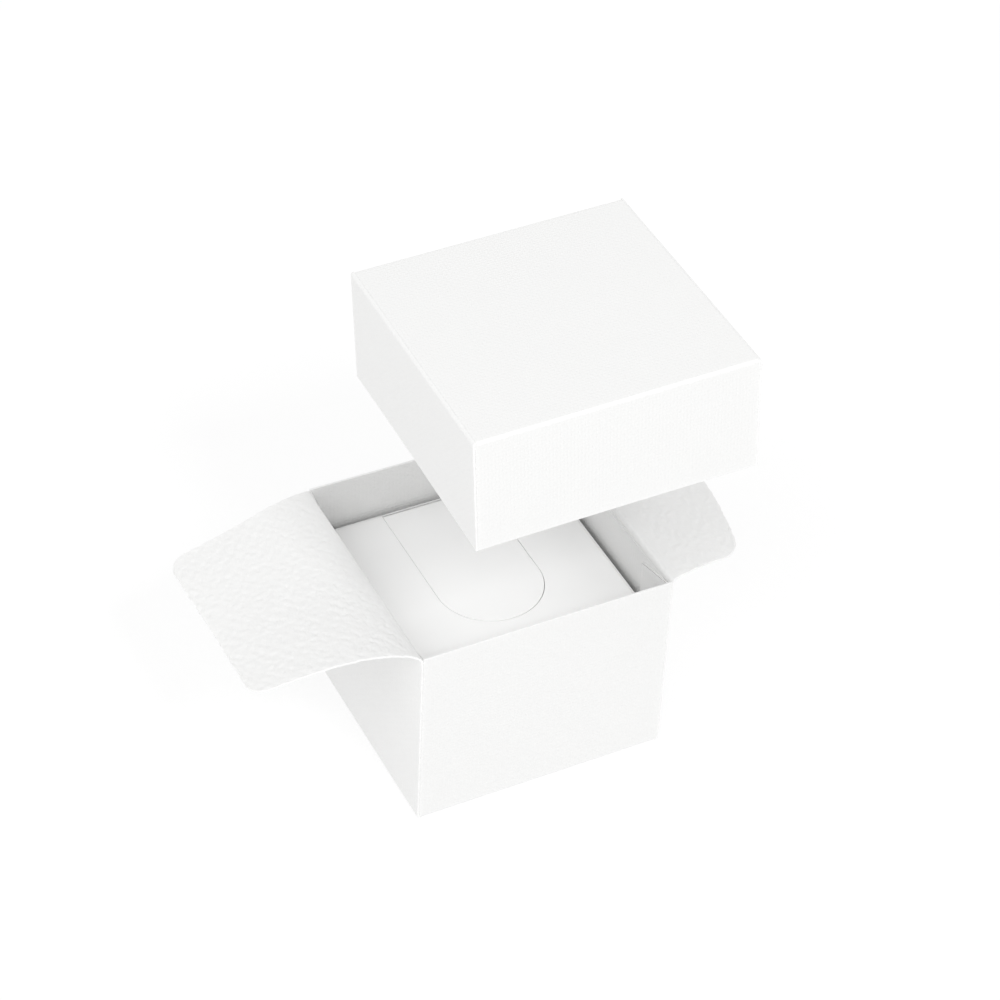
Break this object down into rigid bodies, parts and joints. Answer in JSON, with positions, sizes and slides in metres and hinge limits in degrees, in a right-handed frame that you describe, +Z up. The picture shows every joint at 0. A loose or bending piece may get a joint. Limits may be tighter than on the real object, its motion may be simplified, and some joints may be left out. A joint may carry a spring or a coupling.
{
  "type": "jewelry gift box",
  "caption": "Square folding-carton gift box for jewelry: an open base with closing flaps, a raised insert card with a tongue, and a lift-off lid.",
  "frame": {"origin": "centre of the base's underside", "axes": "+Z up, +X to the right, towards the short flap, +Y to the back, where the insert's tongue is hinged"},
  "size_m": [0.0981, 0.0644, 0.0995],
  "materials": {
    "embossed_card": "matt white card, embossed like fine canvas",
    "smooth_card": "smooth matt white card",
    "adhesive": "dried clear carton adhesive"
  },
  "bodies": {
    "base": {"base_bottom": "embossed_card", "base_front_wall": "embossed_card", "base_back_wall": "embossed_card", "base_left_wall": "embossed_card", "base_right_wall": "embossed_card", "base_front_left_tab": "embossed_card", "base_front_right_tab": "embossed_card", "base_back_left_tab": "embossed_card", "base_back_right_tab": "embossed_card", "base_glue": "adhesive", "insert_platform": "smooth_card", "insert_front_leg": "smooth_card", "insert_back_leg": "smooth_card", "insert_left_leg": "smooth_card", "insert_right_leg": "smooth_card"},
    "left_flap": {"left_flap": "embossed_card"},
    "right_flap": {"right_flap": "embossed_card"},
    "tongue": {"insert_tongue": "smooth_card"},
    "lid": {"lid_top": "embossed_card", "lid_front_wall": "embossed_card", "lid_back_wall": "embossed_card", "lid_left_wall": "embossed_card", "lid_right_wall": "embossed_card", "lid_front_left_tab": "embossed_card", "lid_front_right_tab": "embossed_card", "lid_back_left_tab": "embossed_card", "lid_back_right_tab": "embossed_card", "lid_glue": "adhesive"}
  },
  "joints": [
    {"name": "left_flap_fold", "type": "hinge", "parent": "base", "child": "left_flap", "pos_m": [-0.0252, 0, 0.04], "axis": [0, 1, 0], "range_deg": [-80, 162]},
    {"name": "right_flap_fold", "type": "hinge", "parent": "base", "child": "right_flap", "pos_m": [0.0252, 0, 0.04], "axis": [0, -1, 0], "range_deg": [-80, 170]},
    {"name": "tongue_lift", "type": "hinge", "parent": "base", "child": "tongue", "pos_m": [-0.0003, 0.0226, 0.0298], "axis": [-1, 0, 0], "range_deg": [-15, 10]},
    {"name": "lid_lift", "type": "slide", "parent": "base", "child": "lid", "axis": [0, 0, 1], "range_m": [-0.018, 0.03]}
  ]
}
